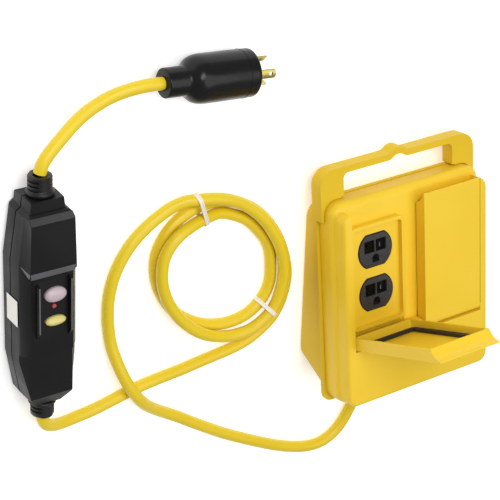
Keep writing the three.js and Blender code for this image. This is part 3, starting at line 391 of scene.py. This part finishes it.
MOULDED = {
    # slot: material, darker colour, lighter colour, roughness, grain's scale and depth, specular level
    "yellow_shell": ("yellow_plastic", (0.84, 0.560, 0.024), (0.88, 0.60, 0.034), 0.38, 900, 0.02, 0.3),
    # painted shade: the rear housing's yellow is a darker copy of the shell's, for its shaded side walls
    "yellow_rear_painted_shade": ("rear_painted_shade_plastic", (0.70, 0.470, 0.016), (0.74, 0.50, 0.022), 0.45, 900, 0.03, 0.15),
    "gasket_rubber": ("gasket_rubber", (0.030, 0.020, 0.013), (0.05, 0.033, 0.02), 0.75, 700, 0.05, 0.3),
    "outlet_black": ("outlet_nylon", (0.030, 0.028, 0.031), (0.042, 0.039, 0.042), 0.36, 800, 0.02, 0.35),
    "relief_rubber": ("relief_rubber", (0.007, 0.007, 0.008), (0.012, 0.012, 0.013), 0.42, 800, 0.04, 0.35),
    "case_black": ("case_plastic", (0.005, 0.005, 0.0055), (0.008, 0.008, 0.0085), 0.44, 1400, 0.04, 0.22),
    "plug_rubber": ("plug_rubber", (0.006, 0.006, 0.0065), (0.009, 0.009, 0.010), 0.24, 900, 0.008, 0.22),
    "carrier_black": ("carrier_nylon", (0.014, 0.014, 0.014), (0.02, 0.02, 0.02), 0.5, 900, 0.03),
    "gap_shadow": ("gap_shadow", (0.022, 0.006, 0.003), (0.035, 0.010, 0.005), 0.8, 700, 0.02, 0.1),
    "lid_shadow": ("lid_shadow", (0.30, 0.16, 0.006), (0.36, 0.20, 0.009), 0.7, 700, 0.02, 0.1),
    # painted shade: a near-black for the receptacles' sunk window floors
    "window_painted_shade": ("window_painted_shade", (0.003, 0.003, 0.002), (0.005, 0.004, 0.003), 0.55, 700, 0.02, 0.05),
    # painted highlights: lighter copies of the case's black for its chamfers and ridges, the second one
    # dimmer
    "case_painted_highlight": ("case_painted_highlight", (0.085, 0.085, 0.088), (0.12, 0.12, 0.125), 0.5, 900, 0.03),
    "case_dim_painted_highlight": ("case_dim_painted_highlight", (0.026, 0.026, 0.027), (0.04, 0.04, 0.042), 0.5, 900, 0.03),
    "cord_yellow": ("cord_vinyl", (0.74, 0.540, 0.014), (0.78, 0.575, 0.022), 0.36, 500, 0.05, 0.35),
    "tie_white": ("tie_nylon", (0.80, 0.74, 0.66), (0.86, 0.80, 0.72), 0.45, 900, 0.02),
    "wire_black": ("wire_black", (0.015, 0.015, 0.015), (0.02, 0.02, 0.02), 0.4, 900, 0.02),
    "wire_green": ("wire_green", (0.02, 0.22, 0.05), (0.03, 0.28, 0.07), 0.4, 900, 0.02),
    "wire_white": ("wire_white", (0.75, 0.75, 0.72), (0.8, 0.8, 0.77), 0.4, 900, 0.02),
    "board_green": ("board", (0.015, 0.11, 0.04), (0.02, 0.14, 0.05), 0.35, 600, 0.02),
    "ceramic_grey": ("ceramic", (0.05, 0.05, 0.07), (0.07, 0.07, 0.09), 0.7, 900, 0.05),
    "reset_pink": ("reset_plastic", (0.50, 0.39, 0.43), (0.56, 0.44, 0.48), 0.35, 900, 0.02),
    "test_yellow": ("test_plastic", (0.68, 0.58, 0.17), (0.74, 0.64, 0.22), 0.35, 900, 0.02),
    "lens_red": ("lens", (0.42, 0.06, 0.06), (0.5, 0.08, 0.08), 0.12, 400, 0.01),
    "label_white": ("label", (0.80, 0.78, 0.72), (0.86, 0.84, 0.79), 0.5, 1200, 0.01),
}
METALS = {
    # slot: material, colour, roughness, stretch of its fine lines
    "steel": ("zinc_steel", (0.62, 0.62, 0.63), 0.35),
    "brass": ("brass", (0.50, 0.41, 0.12), 0.28),
    "nickel": ("nickel", (0.88, 0.86, 0.80), 0.45),
    "copper": ("copper", (0.72, 0.30, 0.12), 0.3, (12, 1, 1)),
}


def make_materials():
    made = {slot: moulded(*row) for slot, row in MOULDED.items()}
    made.update({slot: metal(*row) for slot, row in METALS.items()})
    return made


def dress_cad_nodes(materials):
    slots = {row["node"]: row["material_slot"] for row in frame["record"]["subparts"]}
    for name, node in frame["nodes"].items():
        material = materials[slots[name]]
        if not node.material_slots:
            node.data.materials.append(material)
        for place in node.material_slots:
            place.material = material


# ---------- cord pieces ----------
def add_cords(materials):
    """The two cords' jackets, with the points that each follows."""
    vinyl = materials["cord_yellow"]
    line = evened(LINE_ROUTE, spacing=3)
    load = evened([*FEED_ROUTE, *coil_route(), *TAIL_ROUTE, GLAND_MOUTH], spacing=4)
    line_cord = curve_piece("line_cord_jacket", line, CORD_RADIUS, vinyl)
    load_cord = curve_piece("load_cord_jacket", load, CORD_RADIUS, vinyl)
    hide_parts("line_cord")
    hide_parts("load_cord_feed", "load_cord_tail", "cord_coil")
    return (line_cord, line), (load_cord, load)


# ---------- mesh helpers ----------
def linked(name, shape, material):
    """An object in the scene with a finished bmesh's faces, all smooth, and one material."""
    for face in shape.faces:
        face.smooth = True
    mesh = bpy.data.meshes.new(name)
    shape.to_mesh(mesh)
    shape.free()
    mesh.materials.append(material)
    piece = bpy.data.objects.new(name, mesh)
    bpy.context.scene.collection.objects.link(piece)
    return piece


def mesh_piece(name, shape, slot, materials, angle=40, skin=None):
    """A finished bmesh, in metres and in place, as a piece that rides on the set.
    Its skin is a material other than its slot's own."""
    bmesh.ops.recalc_face_normals(shape, faces=shape.faces)
    piece = linked(name, shape, materials[skin or slot])
    piece.data.set_sharp_from_angle(angle=math.radians(angle))
    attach(piece, ROOT)
    return piece


def stitched(shape, rows):
    """Faces between each row of points and the next, the last row joining the first."""
    for row, after in zip(rows, [*rows[1:], rows[0]]):
        for k in range(len(row)):
            follow = (k + 1) % len(row)
            shape.faces.new((row[k], row[follow], after[follow], after[k]))


def prism(lower, upper):
    """A closed shape between two outlines with equal counts of points, in metres."""
    shape = bmesh.new()
    lower = [shape.verts.new(point) for point in lower]
    upper = [shape.verts.new(point) for point in upper]
    shape.faces.new(list(reversed(lower)))
    shape.faces.new(upper)
    for k in range(len(lower)):
        follow = (k + 1) % len(lower)
        shape.faces.new((lower[k], lower[follow], upper[follow], upper[k]))
    return shape


def closed_turning(profile, place, sides=64, radius_at=None):
    """A ring-shaped solid: a closed profile of (radius, station) turned about local X, then placed.
    radius_at(radius, station, angle) may change the radius round the turn."""
    shape = bmesh.new()
    rows = []
    for radius, station in profile:
        row = []
        for k in range(sides):
            angle = 2 * math.pi * k / sides
            reach = radius_at(radius, station, angle) if radius_at else radius
            point = Vector((station, reach * math.cos(angle), reach * math.sin(angle)))
            row.append(shape.verts.new(place @ point * MM))
        rows.append(row)
    stitched(shape, rows)
    return shape


def extruded(outline, thickness, place):
    """A flat outline, in its local XY, given a thickness either way along local Z, then placed."""
    lower = [place @ Vector((x, y, -thickness / 2)) * MM for x, y in outline]
    upper = [place @ Vector((x, y, thickness / 2)) * MM for x, y in outline]
    return prism(lower, upper)


def arc(centre, radius, start, end, steps):
    """Points on an arc as (radius, station) or (x, y) pairs."""
    turns = [math.radians(start + (end - start) * k / steps) for k in range(steps + 1)]
    return [(centre[0] + radius * math.cos(t), centre[1] + radius * math.sin(t)) for t in turns]


def placed(at, turn=0.0):
    """A frame at a point in millimetres, turned about Z."""
    return Matrix.Translation(at) @ Matrix.Rotation(turn, 4, "Z")


BOX_FRAME = (
    Matrix.Translation((0, REST_DEPTH * math.sin(WEDGE), REST_DEPTH * math.cos(WEDGE)))
    @ Matrix.Rotation(-WEDGE, 4, "X")
)
SIDES = (("left", -1), ("right", 1))
ROWS = (("upper", 1), ("lower", -1))


# ---------- plug ----------
def add_plug(materials):
    """The moulded body: a sleeve, a domed shoulder and a barrel with a rolled rim."""
    barrel, sleeve, length = PLUG_RADIUS, 11.5, PLUG_LENGTH
    shoulder = [(sleeve, 16.6), (11.75, 17.5), (12.4, 18.5), (13.5, 19.7), (14.9, 21), (16.2, 22.4)]
    shoulder += [(17.3, 24.1), (18.1, 26.2), (18.65, 28.6), (18.9, 31), (barrel, 34)]
    profile = [
        (CLEAR, 0.6),
        (CLEAR + 0.6, 0),
        *arc((sleeve - 1.2, 1.2), 1.2, -90, 0, 4),
        *shoulder,
        (barrel, 56),
        (barrel - 0.2, length - 3.4),
        *arc((barrel - 2.2, length - 2), 2, 0, 90, 5),
        (16.4, length - 0.4),
        (16.4, length - 7.8),
        (CLEAR, length - 8),
    ]
    at_plug = placed(PLUG_AT, PLUG_TURN)
    body = mesh_piece("plug_moulding", closed_turning(profile, at_plug, 72), "plug_rubber", materials)
    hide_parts("plug_body")
    # A fine raised ring marks where the plug's shell meets its core.
    seam = [(barrel - 0.5, 67), (barrel + 0.1, 67.2), (barrel + 0.1, 67.6), (barrel - 0.5, 67.8)]
    ring = mesh_piece("plug_seam", closed_turning(seam, at_plug, 72), "plug_rubber", materials)
    return [body, ring]


# ---------- strain reliefs of the module and the gland of the box ----------
def sleeve_profile(length, flange, mouth, ribs_from, pitch, rib_depth):
    """A sleeve from its flange at 0 to its mouth, with flex grooves cut between ribs."""
    rim = flange + 0.4
    profile = [(CLEAR, -8.2), (7.8, -8.2), (7.8, 0.4), (flange, 0.5), (rim, 1), (rim, 2.6)]
    profile += [(flange, 3.2), (mouth + 0.3, 3.8)]
    station = ribs_from
    while station + pitch < length - 0.4:
        profile += [
            (mouth, station),
            (mouth - rib_depth, station + 0.25),
            (mouth - rib_depth, station + 0.45 * pitch),
            (mouth, station + 0.45 * pitch + 0.25),
        ]
        station += pitch
    profile += [(mouth, length - 1.2), (mouth - 0.4, length - 0.4), (mouth - 1.2, length), (CLEAR, length)]
    return profile


def side_grooves(full, depth):
    """Grooves are cut only on the two flat flanks, and fade out over the top and bottom."""

    def radius_at(radius, station, angle):
        if station < 3.9 or radius > full - 0.01 or radius < CLEAR + 0.5:
            return radius
        flank = min(1, max(0, (abs(math.cos(angle)) - 0.45) / 0.15))
        return full - (full - radius) * flank if full - radius <= depth + 0.01 else radius

    return radius_at


def add_reliefs(materials):
    mouth, rib_depth = 9.3, 1.5
    for name, node, base, length, turn in (
        ("line_relief", "line_side_relief", MODULE_LINE_END, 15.2, math.pi / 2),
        ("load_relief", "load_side_relief", -MODULE_LOAD_END, 14, -math.pi / 2),
    ):
        along = placed(MODULE_AT, MODULE_TURN) @ placed(Vector((0, base, MODULE_AXIS)), turn)
        profile = sleeve_profile(length, 10.4, mouth, ribs_from=4.4, pitch=3.4, rib_depth=rib_depth)
        shape = closed_turning(profile, along, 64, side_grooves(mouth, rib_depth))
        relief = mesh_piece(name, shape, "relief_rubber", materials)
        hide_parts(node)


def add_gland(materials):
    """The box's gland: its nut, and a tapering sleeve with five flex grooves."""
    along = (
        BOX_FRAME
        @ Matrix.Translation(GLAND_AT)
        @ Matrix.Rotation(math.pi / 2 + GLAND_SLOPE, 4, "X")
        @ Matrix.Rotation(-math.pi / 2, 4, "Y")
    )
    profile = [(CLEAR, -9.6), (9.6, -9.6), (9.6, -4.4), (7, -4.4), (7, 0.6), (10.2, 0.6), (10.6, 1.2)]
    profile += [(10.6, 4.4), (10, 5), (8.4, 5.6)]
    for step in range(5):
        station = 8 + step * 4.2
        taper = 8.2 - 0.32 * step
        profile += [(taper, station), (taper - 1, station + 0.3)]
        profile += [(taper - 1.1, station + 1.6), (taper - 0.1, station + 1.9)]
    profile += [(6.6, 29.2), (6.2, 30), (CLEAR, 30)]
    gland = mesh_piece("box_gland", closed_turning(profile, along, 48), "relief_rubber", materials)
    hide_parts("cord_gland")


# ---------- cable ties round the coil ----------
def strands_at(degrees, load_points):
    """Where the coil's strands cross the half-plane at an angle about its middle, as (radius, height)."""
    crossings = []
    direction = Vector((math.cos(math.radians(degrees)), math.sin(math.radians(degrees)), 0))
    normal = Vector((-direction.y, direction.x, 0))
    for before, after in zip(load_points, load_points[1:]):
        near, far = (before - COIL_AT).dot(normal), (after - COIL_AT).dot(normal)
        if near * far > 0 or (before - COIL_AT).dot(direction) < 0:
            continue
        point = before.lerp(after, near / (near - far)) - COIL_AT
        crossings.append((point.dot(direction), point.z))
    return sorted(crossings)


def tie_loop(strands, gap):
    """The outline of a strap drawn tight round the strands, and that far off their jackets."""
    cloud = [
        Vector(point)
        for strand in strands
        for point in arc(strand, CORD_RADIUS + gap, 0, 345, 23)
    ]
    return [cloud[k] for k in convex_hull_2d(cloud)]


def add_tie(name, node, degrees, count, load_points, materials):
    """A nylon strap with raised edges along it, drawn round the outermost strands of the coil there."""
    beyond_coil = 80
    strands = [strand for strand in strands_at(degrees, load_points) if strand[0] < beyond_coil][-count:]
    inner, outer = tie_loop(strands, 0.08), tie_loop(strands, 0.95)
    angle = math.radians(degrees)
    across = Vector((math.cos(angle), math.sin(angle), 0))
    along = Vector((-across.y, across.x, 0))
    half = 1.75
    shape = bmesh.new()
    # Section of the strap from its one side to the other: two raised rails and a sunk middle.
    section = [(-half, 0), (-half, 1), (-half * 0.45, 1), (-half * 0.35, 0.55)]
    section += [(half * 0.35, 0.55), (half * 0.45, 1), (half, 1), (half, 0)]
    rows = []
    for a, b in zip(inner, outer):
        row = []
        for shift, lift in section:
            flat = a.lerp(b, lift)
            point = COIL_AT + across * flat.x + along * shift + Vector((0, 0, max(flat.y, 0.05)))
            row.append(shape.verts.new(point * MM))
        rows.append(row)
    stitched(shape, rows)
    tie = mesh_piece(name, shape, "tie_white", materials, angle=30)
    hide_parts(node)
    return tie


# ---------- module details ----------
def edge_facet(name, points, out, materials, skin="case_painted_highlight"):
    """A thin facet laid on a face of the module, in the module's own millimetres, coloured as a painted
    highlight.
    """
    place = placed(MODULE_AT, MODULE_TURN)
    lift = Vector(out).normalized()
    sunk, proud = 0.2, 0.1
    below = [place @ (Vector(point) - lift * sunk) * MM for point in points]
    above = [place @ (Vector(point) + lift * proud) * MM for point in points]
    mesh_piece(name, prism(below, above), "case_black", materials, skin=skin)


def add_module_edges(materials):
    """Painted highlights on the chamfers of the case: the hood's two ends, its wings and the guards' ridges,
    in lighter copies of the case's black.
    """
    hood = [(-18.6, 42, 40), (18.6, 42, 40), (17.6, 35.9, 37.6), (-17.6, 35.9, 37.6)]
    edge_facet("hood_lower_edge", hood, (0, -0.36, 0.93), materials)
    brow = [(-17.4, 80.4, 39.7), (17.4, 80.4, 39.7), (17.7, 84.4, 35.6), (-17.7, 84.4, 35.6)]
    edge_facet("hood_upper_edge", brow, (0, 0.7, 0.7), materials, "case_dim_painted_highlight")
    for name, side in SIDES:
        wing = [(side * 19.05, 41.6, 39.9), (side * 19.6, 37.9, 38.6), (side * 22.9, 46.2, 30.7)]
        edge_facet(f"hood_wing_{name}", wing, (side * 0.92, 0, 0.39), materials)
    ridge_half, ridge_height = 0.55, 42.1
    for name, x, bottom, top in (("left", -12.8, -9, 30), ("right", 13.8, -12, 32)):
        x0, x1 = x - ridge_half, x + ridge_half
        corners = [(x0, bottom), (x1, bottom), (x1, top), (x0, top)]
        ridge = [(*corner, ridge_height) for corner in corners]
        edge_facet(f"guard_ridge_{name}", ridge, (0, 0, 1), materials)


# ---------- box details ----------
# Each slot's contact: its place across its face, its lower and upper ends, and its skin.
CONTACTS = (
    ("line", 6.5, 1.2, 4.6, "nickel"),
    ("neutral", -5.3, 1.2, 8.0, "brass"),
)
CONTACT_FOOT = 12.6  # over the parting plane


def add_contacts(materials):
    """Bright contacts standing inside the receptacles' slots."""
    outline = [(-0.2, 0), (0.2, 0), (0.2, 6), (1, 7.4), (0.7, 7.8), (-0.2, 6.4)]
    for side_name, side in SIDES:
        for row_name, row in ROWS:
            for slot_name, across, low, high, skin in CONTACTS:
                foot = (side * OUTLET_X + across, row * OUTLET_ROW + (low + high) / 2, CONTACT_FOOT)
                stand = BOX_FRAME @ Matrix.Translation(foot) @ Matrix.Rotation(math.pi / 2, 4, "X")
                mirror = Matrix.Scale(-1 if across > 0 else 1, 4, (1, 0, 0))
                shape = extruded(outline, high - low, stand @ mirror)
                name = f"{side_name}_{row_name}_{slot_name}_contact"
                mesh_piece(name, shape, "brass", materials, skin=skin)


def add_lid_gap(materials):
    """The shaded clearance along the closed lid's outer side."""
    edge, width, thickness = POCKET_HALF + 0.2, 0.5, 0.2
    outline = [(edge - width, 60), (edge - width, -56), (edge, -56.4), (edge, 60.3)]
    shape = extruded(outline, thickness, BOX_FRAME @ Matrix.Translation((0, 0, SURROUND_FACE + 0.02)))
    mesh_piece("right_lid_gap", shape, "yellow_shell", materials, skin="lid_shadow")


def face_outline(grow):
    """The outline of a receptacle's face: a circle with two flats, that much larger."""
    radius, flat = FACE_RADIUS + grow, FACE_FLAT + grow
    side = math.degrees(math.asin(flat / radius))
    right = arc((0, 0), radius, -side, side, 16)
    left = arc((0, 0), radius, 180 - side, 180 + side, 16)
    return right + left


def add_face_gaps(materials):
    """A ring of painted shadow round each receptacle's face, where its clearance in the cover plate is."""
    inner, outer = face_outline(-0.15), face_outline(0.85)
    for side_name, side in SIDES:
        for row_name, row in ROWS:
            place = BOX_FRAME @ Matrix.Translation((side * OUTLET_X, row * OUTLET_ROW, PLATE_FACE))
            shape = bmesh.new()
            rings = [
                [shape.verts.new(place @ Vector((x, y, z)) * MM) for x, y in outline]
                for outline, z in ((inner, -0.4), (outer, -0.4), (outer, 0.06), (inner, 0.12))
            ]
            stitched(shape, rings)
            name = f"{side_name}_{row_name}_face_gap"
            mesh_piece(name, shape, "outlet_black", materials, skin="gap_shadow")


WINDOW_DEPTH = 1.2  # each window's floor under the plate's face
SAME_POINT = 0.002  # points nearer than this are one


def add_window_floors(materials):
    """The sunk floors round the blade slots, with the slots left open, in a near-black that is painted
    shade: darker than the face.
    """
    to_box = BOX_FRAME.inverted()
    floor_at = PLATE_FACE - WINDOW_DEPTH
    for name, _ in SIDES:
        source = frame["nodes"][name + "_receptacle"]
        shape = bmesh.new()
        shape.from_mesh(source.data)
        bmesh.ops.remove_doubles(shape, verts=shape.verts, dist=SAME_POINT * MM)
        other = []
        for face in shape.faces:
            heights = [(to_box @ (source.matrix_world @ v.co / MM)).z for v in face.verts]
            if not all(abs(height - floor_at) < 0.2 for height in heights):
                other.append(face)
        bmesh.ops.delete(shape, geom=other, context="FACES")
        floors = bmesh.ops.extrude_face_region(shape, geom=list(shape.faces))
        moved = [v for v in floors["geom"] if isinstance(v, bmesh.types.BMVert)]
        lift = BOX_FRAME.to_3x3() @ Vector((0, 0, 0.08)) * MM
        bmesh.ops.translate(shape, verts=moved, vec=lift)
        mesh_piece(name + "_receptacle_floors", shape, "outlet_black", materials, skin="window_painted_shade")


# ---------- copies of CAD nodes with softened edges ----------
def softened(node, name, material, edge=0.4, angle=32, body=ROOT):
    """A copy of a CAD node whose sharp edges are rounded, to stand for it.
    With no body, it is left unattached."""
    source = frame["nodes"][node]
    shape = bmesh.new()
    shape.from_mesh(source.data)
    bmesh.ops.remove_doubles(shape, verts=shape.verts, dist=SAME_POINT * MM)
    bmesh.ops.dissolve_limit(
        shape, angle_limit=math.radians(0.6), use_dissolve_boundaries=False,
        verts=shape.verts, edges=shape.edges,
    )
    piece = linked(name, shape, material)
    if edge:
        bevel = piece.modifiers.new("edge", "BEVEL")
        bevel.width = edge * MM
        bevel.segments = 2
        bevel.limit_method = "ANGLE"
        bevel.angle_limit = math.radians(angle)
        bevel.use_clamp_overlap = True
        bevel.harden_normals = True
    piece.data.set_sharp_from_angle(angle=math.radians(angle))
    if body:
        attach(piece, body)
    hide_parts(node)
    return piece


SOFTENED = [
    # node, slot, edge width, body
    ("front_cover", "yellow_shell", 0.9, ROOT),
    ("left_lid", "yellow_shell", 0.7, "left_lid"),
    ("right_lid", "yellow_shell", 0.7, "right_lid"),
    ("left_lid_gasket", "gasket_rubber", 0.4, "left_lid"),
    ("right_lid_gasket", "gasket_rubber", 0.4, "right_lid"),
    ("left_receptacle", "outlet_black", 0.25, ROOT),
    ("right_receptacle", "outlet_black", 0.25, ROOT),
    ("module_top_case", "case_black", 0.6, ROOT),
    ("module_bottom_case", "case_black", 0.5, ROOT),
    ("reset_button", "reset_pink", 0.5, "reset_button"),
    ("test_button", "test_yellow", 0.5, "test_button"),
    ("side_label", "label_white", 0.1, ROOT),
]
PLUG_SOFTENED = [
    # node, slot, edge width
    ("hot_blade", "brass", 0.2),
    ("neutral_blade", "brass", 0.2),
    ("ground_blade", "brass", 0.2),
    ("blade_carrier", "carrier_black", 0.4),
]


def add_softened(materials):
    for node, slot, edge, body in SOFTENED:
        softened(node, node + "_moulding", materials[slot], edge, body=body)
    # The rear housing wears a darker copy of the shell's yellow: painted shade.
    softened("rear_housing", "rear_housing_moulding", materials["yellow_rear_painted_shade"], 1.0)


def add_springs(materials):
    """Each button's spring stands on the board."""
    for button in ("reset_button", "test_button"):
        node = button.replace("button", "spring")
        spring = softened(node, node + "_wire", materials["steel"], edge=0, angle=80, body=None)
        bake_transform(spring)


# ---------- floor and backdrop ----------
STAGE_HALF = 4  # metres


def add_floor():
    material, shader = new_material("pale_floor", (0.88, 0.88, 0.87), 0.8, specular=0.1)
    shader.inputs["Emission Color"].default_value = (1, 1, 1, 1)
    shader.inputs["Emission Strength"].default_value = 0.42
    tree = material.node_tree
    add_bump(tree, shader, noise(tree, 300), 0.02)
    shape = bmesh.new()
    bmesh.ops.create_grid(shape, x_segments=2, y_segments=2, size=STAGE_HALF)
    floor = linked("floor", shape, material)
    floor.location.z = -0.0001


def add_backdrop():
    """A plain pale wall round the table. Only the camera sees it, so it adds no light."""
    material, shader = new_material("pale_wall", (0.05, 0.05, 0.05), 1, specular=0)
    shader.inputs["Emission Color"].default_value = (1, 1, 1, 1)
    shader.inputs["Emission Strength"].default_value = 0.92
    shape = bmesh.new()
    radius = STAGE_HALF - 0.1
    bmesh.ops.create_cone(
        shape, cap_ends=False, segments=96, radius1=radius, radius2=radius, depth=2 * STAGE_HALF,
    )
    wall = linked("backdrop", shape, material)
    wall.visible_diffuse = False
    wall.visible_glossy = False
    wall.visible_transmission = False
    wall.visible_volume_scatter = False
    wall.visible_shadow = False


add_camera()
add_light()
materials = make_materials()
line, load = add_cords(materials)
plug_pieces = add_plug(materials)
plug_pieces += [
    softened(node, node + "_part", materials[slot], edge) for node, slot, edge in PLUG_SOFTENED
]
ties = [
    add_tie("tie_upper", "cord_tie_upper", 110, 3, load[1], materials),
    add_tie("tie_lower", "cord_tie_lower", -49.5, 2, load[1], materials),
]
add_softened(materials)
add_springs(materials)
add_reliefs(materials)
add_gland(materials)
add_module_edges(materials)
add_contacts(materials)
add_face_gaps(materials)
add_lid_gap(materials)
add_window_floors(materials)
add_floor()
add_backdrop()
dress_cad_nodes(materials)
